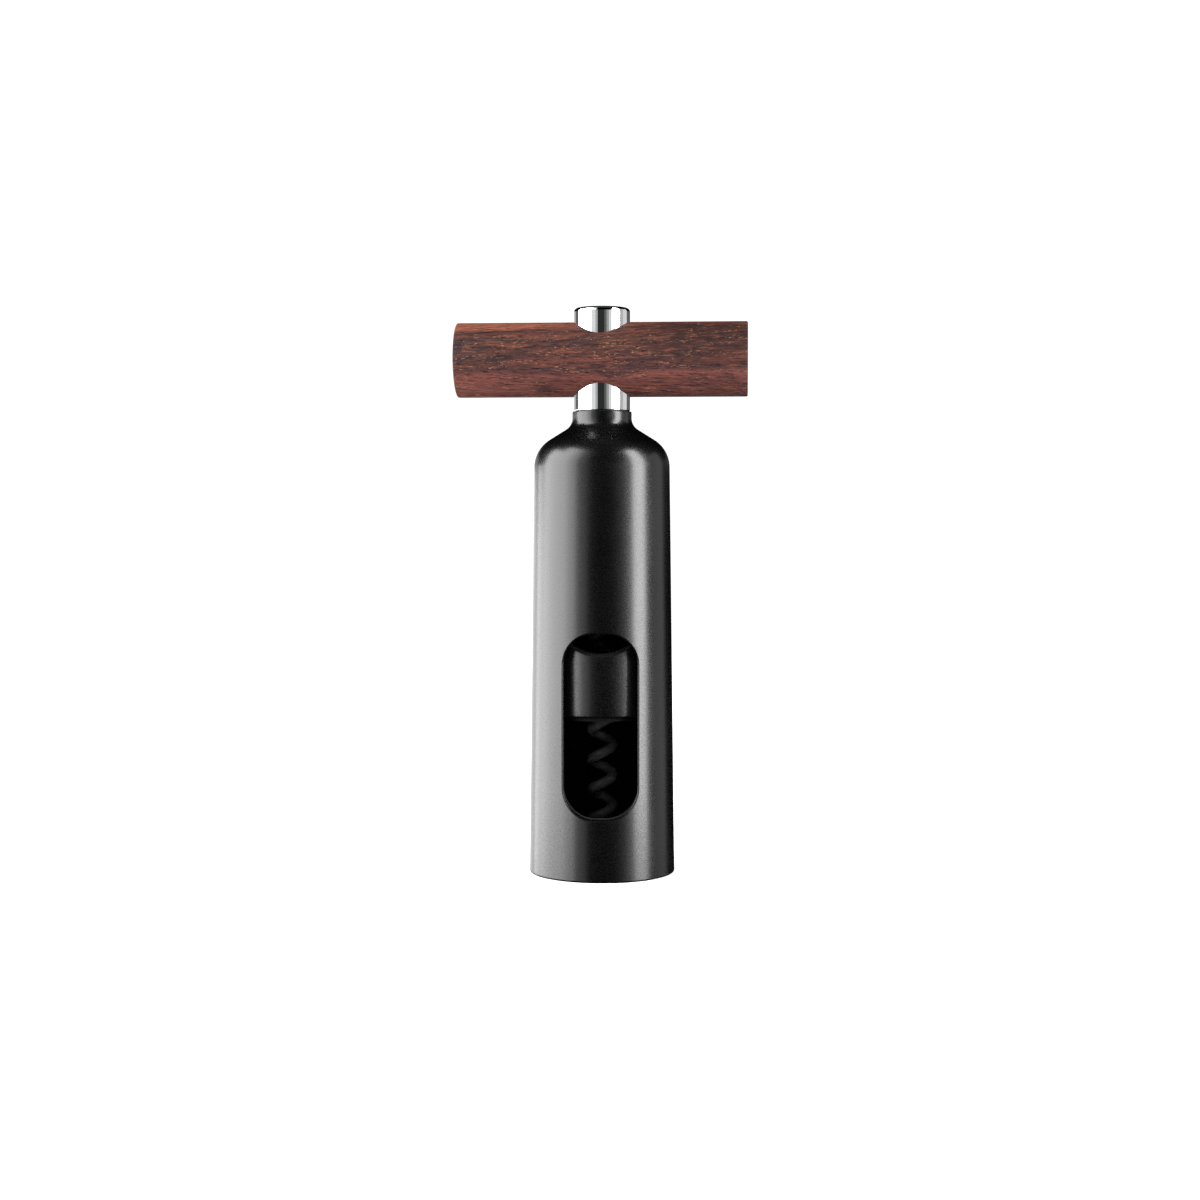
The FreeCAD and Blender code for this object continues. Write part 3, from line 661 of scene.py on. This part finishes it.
def make_sleeve(material):
    """The stop sleeve: a tube whose top is scooped from front to back."""
    around = 256
    outer, inner = 17.0, 12.75
    height = 27.5
    scoop_radius, scoop_depth = 14.5, 8.9
    scoop_chamfer, lip = 1.0, 0.4
    foot_chamfer = 0.5
    groove_inner, groove_outer, groove_depth = 13.57, 14.63, 1.43
    scoop_centre = height - scoop_depth + scoop_radius
    fillet_steps = 3
    side_rows = 12

    def top(across):
        """The scooped top's height above the foot, some way from the scoop's middle."""
        rise = math.sqrt(max(0.0, scoop_radius ** 2 - across ** 2))
        return min(height, scoop_centre - rise)

    def profile(angle):
        """The tube's outline in (radius, height) at one side of it."""
        side = abs(math.sin(angle))
        outline = rounded(
            [
                (outer, foot_chamfer, 0.15),
                (outer, top(outer * side) - scoop_chamfer, 0.2),
                (outer - scoop_chamfer, top((outer - scoop_chamfer) * side), 0.12),
                (inner + lip, top((inner + lip) * side), 0.1),
                (inner, top(inner * side) - lip, 0.1),
                (inner, foot_chamfer),
                (inner + foot_chamfer, 0.0),
                (groove_inner, 0.0),
                (groove_inner, groove_depth),
                (groove_outer, groove_depth),
                (groove_outer, 0.0),
                (outer - foot_chamfer, 0.0),
            ],
            steps=fillet_steps,
        )
        first = fillet_steps + 1
        low, high = outline[first - 1], outline[first]
        fill = [low.lerp(high, i / side_rows) for i in range(1, side_rows)]
        return outline[:first] + fill + outline[first:]

    bm = bmesh.new()
    columns = []
    for i in range(around):
        angle = 2 * math.pi * i / around
        columns.append(
            [bm.verts.new(wall_point(p.x, angle, SLEEVE_FOOT + p.y)) for p in profile(angle)]
        )
    for i, column in enumerate(columns):
        beside = columns[(i + 1) % around]
        for j, vert in enumerate(column):
            above = (j + 1) % len(column)
            bm.faces.new((vert, beside[j], beside[above], column[above]))
    piece = finish_mesh(bm, "sleeve")
    settle(piece, "bell", "sleeve_black", material, "stop_sleeve")


def make_column(material):
    """The polished column and the journal below it, with the socket for the hub's stud."""
    around = 160
    longest_row = 2.0
    journal_radius, journal_edge = 5.0, 0.3
    socket_radius, socket_depth = 3.0, 10.0
    foot_edge, top_edge = 0.15, 1.2
    foot = NECK_TOP + 0.25
    socket_top = JOURNAL_FOOT + socket_depth
    # a row just inside each rounded edge keeps the mirror true between them
    low_row, high_row = foot + 0.2, COLUMN_TOP - 1.25
    corners = [
        (0.0, socket_top),
        (socket_radius, socket_top),
        (socket_radius, JOURNAL_FOOT),
        (journal_radius, JOURNAL_FOOT, journal_edge),
        (journal_radius, foot),
        (COLUMN_RADIUS, foot, foot_edge),
        (COLUMN_RADIUS, low_row),
        (COLUMN_RADIUS, high_row),
        (COLUMN_RADIUS, COLUMN_TOP, top_edge),
        (0.0, COLUMN_TOP),
    ]
    bm = bmesh.new()
    build_wall(bm, divided(rounded(corners, steps=10), longest_row), around)
    piece = finish_mesh(bm, "column", sharp_angle=50)
    settle(piece, "spindle", "polished_chrome", material, "spindle")


def make_handle(material):
    """The rosewood bar, bored for the column and, behind, for its screw."""
    around = 144
    longest_row = 1.5
    half = HANDLE_LENGTH / 2
    end_edge, bore_edge = 0.45, 0.12
    bore = COLUMN_RADIUS + 0.02
    screw_way = 2.02
    screw_depth = HANDLE_RADIUS - COLUMN_RADIUS - 0.1
    # the block of wall that each hole is cut from
    bore_block = 12.0
    bore_rows, bore_half_columns = 32, 19
    screw_rows, screw_half_columns = 12, 6

    def middle_rows(low, high, count):
        return [Vector((HANDLE_RADIUS, low + (high - low) * i / count)) for i in range(count + 1)]

    ends = rounded(
        [(0.0, half), (HANDLE_RADIUS, half, end_edge), (HANDLE_RADIUS, 0.0)], steps=5
    )[:-1]
    low_end = [Vector((point.x, -point.y)) for point in ends]
    low_end = divided(low_end + [Vector((HANDLE_RADIUS, -bore_block))], longest_row)[:-1]
    high_end = divided([Vector((HANDLE_RADIUS, bore_block))] + ends[::-1], longest_row)[1:]
    stations = low_end + middle_rows(-bore_block, bore_block, bore_rows) + high_end

    def round_hole(column, angle, rows, half_columns, radius):
        """A hole in the middle of the bar's length."""
        first = len(low_end) + (bore_rows - rows) // 2
        columns = (column - half_columns, column + half_columns)
        return Hole((first, first + rows), columns, angle, 0.0, radius, radius, radius)

    quarter = around // 4
    top = round_hole(-quarter, -math.pi / 2, bore_rows, bore_half_columns, bore)
    bottom = round_hole(quarter, math.pi / 2, bore_rows, bore_half_columns, bore)
    back = round_hole(2 * quarter, math.pi, screw_rows, screw_half_columns, screw_way)
    bm = bmesh.new()
    build_wall(bm, stations, around, (top, bottom, back))
    crisp = rim_edges(top) + rim_edges(bottom)
    join_holes(bm, top, bottom)
    soften(bm, crisp, bore_edge, segments=2)
    sink_hole(bm, back, screw_depth)
    # the bar lies on its side, and the rest angle is in its mesh
    lying = Matrix.Rotation(math.pi / 2, 4, "Y")
    rest_turn = lying.inverted() @ Matrix.Rotation(REST_ANGLE, 4, "Z") @ lying
    bmesh.ops.transform(bm, matrix=rest_turn, verts=bm.verts)
    piece = finish_mesh(bm, "handle")
    piece.matrix_world = Matrix.Translation((0, 0, HANDLE_HEIGHT * MM)) @ lying
    # the column and the bell show no red from the bar
    piece.visible_glossy = False
    settle(piece, "spindle", "rosewood", material, "cross_handle")


def sink_hole(bm, hole, depth):
    """A short wall from a hole in the back of a bar, straight in towards its axis."""
    inner = [bm.verts.new(vert.co - Vector((0, depth * MM, 0))) for vert in hole.rim]
    count = len(inner)
    for i, vert in enumerate(hole.rim):
        after = (i + 1) % count
        bm.faces.new((vert, hole.rim[after], inner[after], inner[i]))


# ---------------------------------------------------------------- carried-over nodes

def finish_nodes(materials):
    """Better materials for the CAD nodes that keep their own shape."""
    for name, material in materials.items():
        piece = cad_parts[name]
        piece.data.materials.clear()
        piece.data.materials.append(material)


# ---------------------------------------------------------------- stage

def make_stage():
    """A pale floor that casts no shadow, and a white surround. Neither shows in a mirror."""
    reach = 6.0
    pale, paler = (0.93, 0.93, 0.93), (0.95, 0.95, 0.95)
    white = (1.0, 1.0, 1.0, 1.0)
    surround_strength = 1.12

    mesh = bpy.data.meshes.new("floor")
    mesh.from_pydata(
        [(-reach, -reach, 0), (reach, -reach, 0), (reach, reach, 0), (-reach, reach, 0)],
        [], [(0, 1, 2, 3)],
    )
    floor = bpy.data.objects.new("floor", mesh)
    bpy.context.scene.collection.objects.link(floor)
    n = Nodes("pale_floor")
    cloud = n.noise(n.place, 3.0, detail=3.0)
    n.set(Base_Color=n.mix(cloud, pale, paler), Roughness=0.9, Specular_IOR_Level=0.0)
    floor.data.materials.append(n.material)
    floor.visible_glossy = False
    floor.visible_shadow = False

    world = bpy.data.worlds.new("studio")
    bpy.context.scene.world = world
    world.use_nodes = True
    background = world.node_tree.nodes["Background"]
    background.inputs["Color"].default_value = white
    background.inputs["Strength"].default_value = surround_strength
    world.cycles_visibility.glossy = False


def area_light(name, radiance, width, height):
    """A rectangular lamp of even brightness, at the origin and facing down until it is placed."""
    data = bpy.data.lights.new(name, "AREA")
    data.shape = "RECTANGLE"
    data.size = width
    data.size_y = height
    data.energy = radiance * math.pi * width * height
    light = bpy.data.objects.new(name, data)
    bpy.context.scene.collection.objects.link(light)
    return light


def soft_box(name, start, end, radiance, bottom, top):
    """A soft box that fills a sector round the axis, in degrees from the camera's side."""
    distance = 0.8
    middle = math.radians((start + end) / 2 + VIEW_AZIMUTH)
    width = 2 * distance * math.tan(math.radians(end - start) / 2)
    light = area_light(name, radiance, width, top - bottom)
    light.location = (
        distance * math.sin(middle), -distance * math.cos(middle), (top + bottom) / 2
    )
    light.rotation_euler = (math.pi / 2, 0, middle)


def make_lights():
    """Tall soft boxes at the left and the right, feathered to the front and to the back."""
    # the column mirrors what lies between split and high
    low, split, high = -0.17, 0.148, 0.27
    tall, left_top = 1.1, 1.3
    ceiling_radiance, ceiling_side, ceiling_height = 0.06, 1.2, 1.6
    soft_box("left_box_rear", -112, -88, 8.3, low, 0.8)
    soft_box("left_box", -88, -60, 8.3, low, left_top)
    soft_box("right_strip", 52, 76, 14.0, -0.13, tall)
    # what the bell sees beside them
    soft_box("left_rear", -180, -135, 2.0, low, 0.14)
    soft_box("left_side", -135, -112, 6.0, low, 0.16)
    soft_box("left_feather", -60, -44, 5.5, low, left_top)
    soft_box("left_front", -44, -25, 1.2, low, split)
    soft_box("right_front", 26, 38, 0.25, low, split)
    soft_box("right_edge", 38, 52, 1.3, low, 0.5)
    soft_box("right_side", 76, 95, 0.5, low, 0.6)
    soft_box("right_fill", 95, 122, 0.75, low, 0.55)
    soft_box("shoulder_left", -44, -25, 1.2, high, left_top)
    # what the column sees beside them
    soft_box("column_far_left", -172, -140, 0.6, split, high)
    soft_box("column_rear_left", -140, -112, 0.15, 0.16, high)
    soft_box("column_rear_right", 122, 165, 0.12, split, high)
    soft_box("column_left", -44, -27, 0.8, split, high)
    soft_box("column_left_edge", -27, -18, 0.45, split, high)
    soft_box("column_front", -18, 9, 0.03, split, high)
    soft_box("column_right_edge", 9, 18, 0.12, split, high)
    soft_box("column_right", 18, 28, 0.35, split, high)
    soft_box("column_right_outer", 28, 38, 0.75, split, high)
    # a dim ceiling, which the column's top and the bell's shoulder see
    ceiling = area_light("ceiling", ceiling_radiance, ceiling_side, ceiling_side)
    ceiling.location = (0, 0, ceiling_height)


def make_camera():
    """The photographed view: from the front, a little above the bell's middle."""
    distance, height, sideways = 0.575, 0.10638, -0.0006
    looking_down = 2.6
    data = bpy.data.cameras.new("camera")
    data.lens = 58.5
    data.sensor_width = 36.0
    camera = bpy.data.objects.new("camera", data)
    swing = Matrix.Rotation(math.radians(VIEW_AZIMUTH), 4, "Z")
    place = Matrix.Translation((sideways, -distance, height))
    tilt = Matrix.Rotation(math.radians(90 - looking_down), 4, "X")
    camera.matrix_world = swing @ place @ tilt
    bpy.context.scene.collection.objects.link(camera)
    bpy.context.scene.camera = camera


def main():
    bell_black = satin_black("bell_satin_black", dull_inside=True)
    # the sleeve's faces that look up carry a painted highlight
    sleeve_black = satin_black(
        "sleeve_satin_black", rough=0.29, grain=1900, grain_depth=3e-6, painted_top_highlight=True
    )
    acetal = satin_black("bush_acetal", tone=0.02, rough=0.42, grain=900, grain_depth=1.5e-6)
    steel = turned_steel()
    make_bell(bell_black)
    make_sleeve(sleeve_black)
    make_column(polished_chrome())
    make_handle(rosewood())
    finish_nodes({
        "neck_guide_ring": sleeve_black,
        "lip_seat_ring": soft_rubber(),
        "upper_bush": acetal,
        "lower_bush": acetal,
        "handle_grub_screw": steel,
        "retaining_washer": steel,
        "lock_washer": steel,
        "worm_hub": steel,
        "worm_pin": steel,
        "worm": worm_coat(),
    })
    make_stage()
    make_lights()
    make_camera()
    bpy.context.scene.view_settings.view_transform = "Standard"


main()
